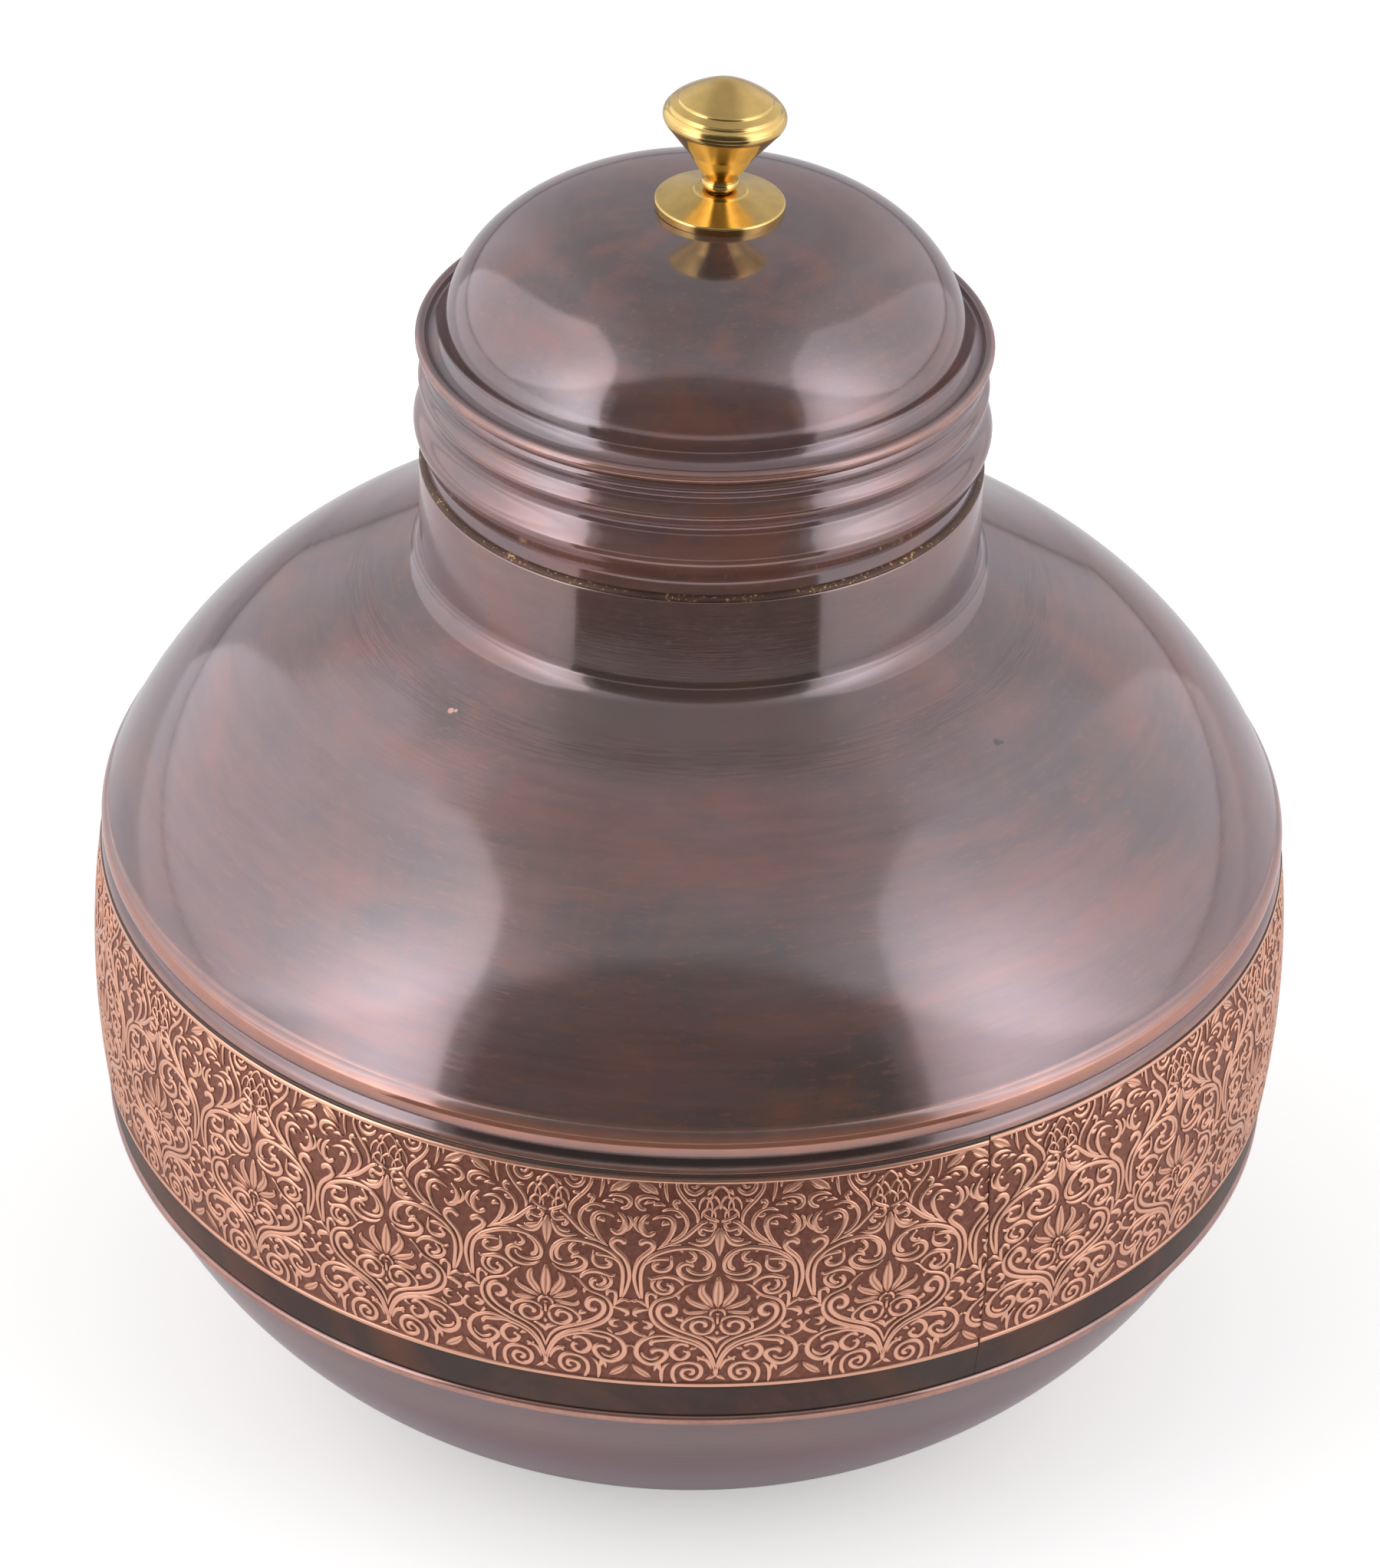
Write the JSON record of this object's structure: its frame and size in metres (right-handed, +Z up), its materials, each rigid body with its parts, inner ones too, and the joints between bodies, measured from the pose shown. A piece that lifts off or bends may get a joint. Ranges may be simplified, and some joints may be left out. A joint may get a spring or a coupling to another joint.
{
  "type": "lidded water pot",
  "caption": "Round-bellied spun copper water pot with a dark patina, an etched scrollwork band, a ribbed mouth, and a domed lid that lifts off by a turned brass knob.",
  "frame": {"origin": "middle of the base, on the surface that the pot stands on", "axes": "+Z up along the pot's axis, -Y towards the picture's viewer, +X to the viewer's right"},
  "size_m": [0.2576, 0.2576, 0.2978],
  "materials": {
    "patina_copper": "brushed copper with a dark brown antique patina under clear lacquer",
    "etched_copper": "pink copper lines standing on a dark etched ground, satin",
    "polished_brass": "turned and polished",
    "braze_alloy": "dulled brazing alloy",
    "steel": "plain turned steel"
  },
  "bodies": {
    "pot": {"lower_bowl": "patina_copper", "etched_band": "etched_copper", "band_seam_braze": "braze_alloy", "lower_band_braze": "braze_alloy", "upper_band_braze": "braze_alloy", "shoulder": "patina_copper", "neck_braze": "braze_alloy", "mouth_ring": "patina_copper"},
    "lid": {"lid_dome": "patina_copper", "lid_skirt": "patina_copper", "lid_braze": "braze_alloy", "knob_rosette": "polished_brass", "knob": "polished_brass", "knob_screw": "steel", "knob_screw_washer": "steel"}
  },
  "joints": [
    {"name": "lid_lift", "type": "slide", "parent": "pot", "child": "lid", "axis": [0, 0, 1], "range_m": [0, 0.15]}
  ]
}
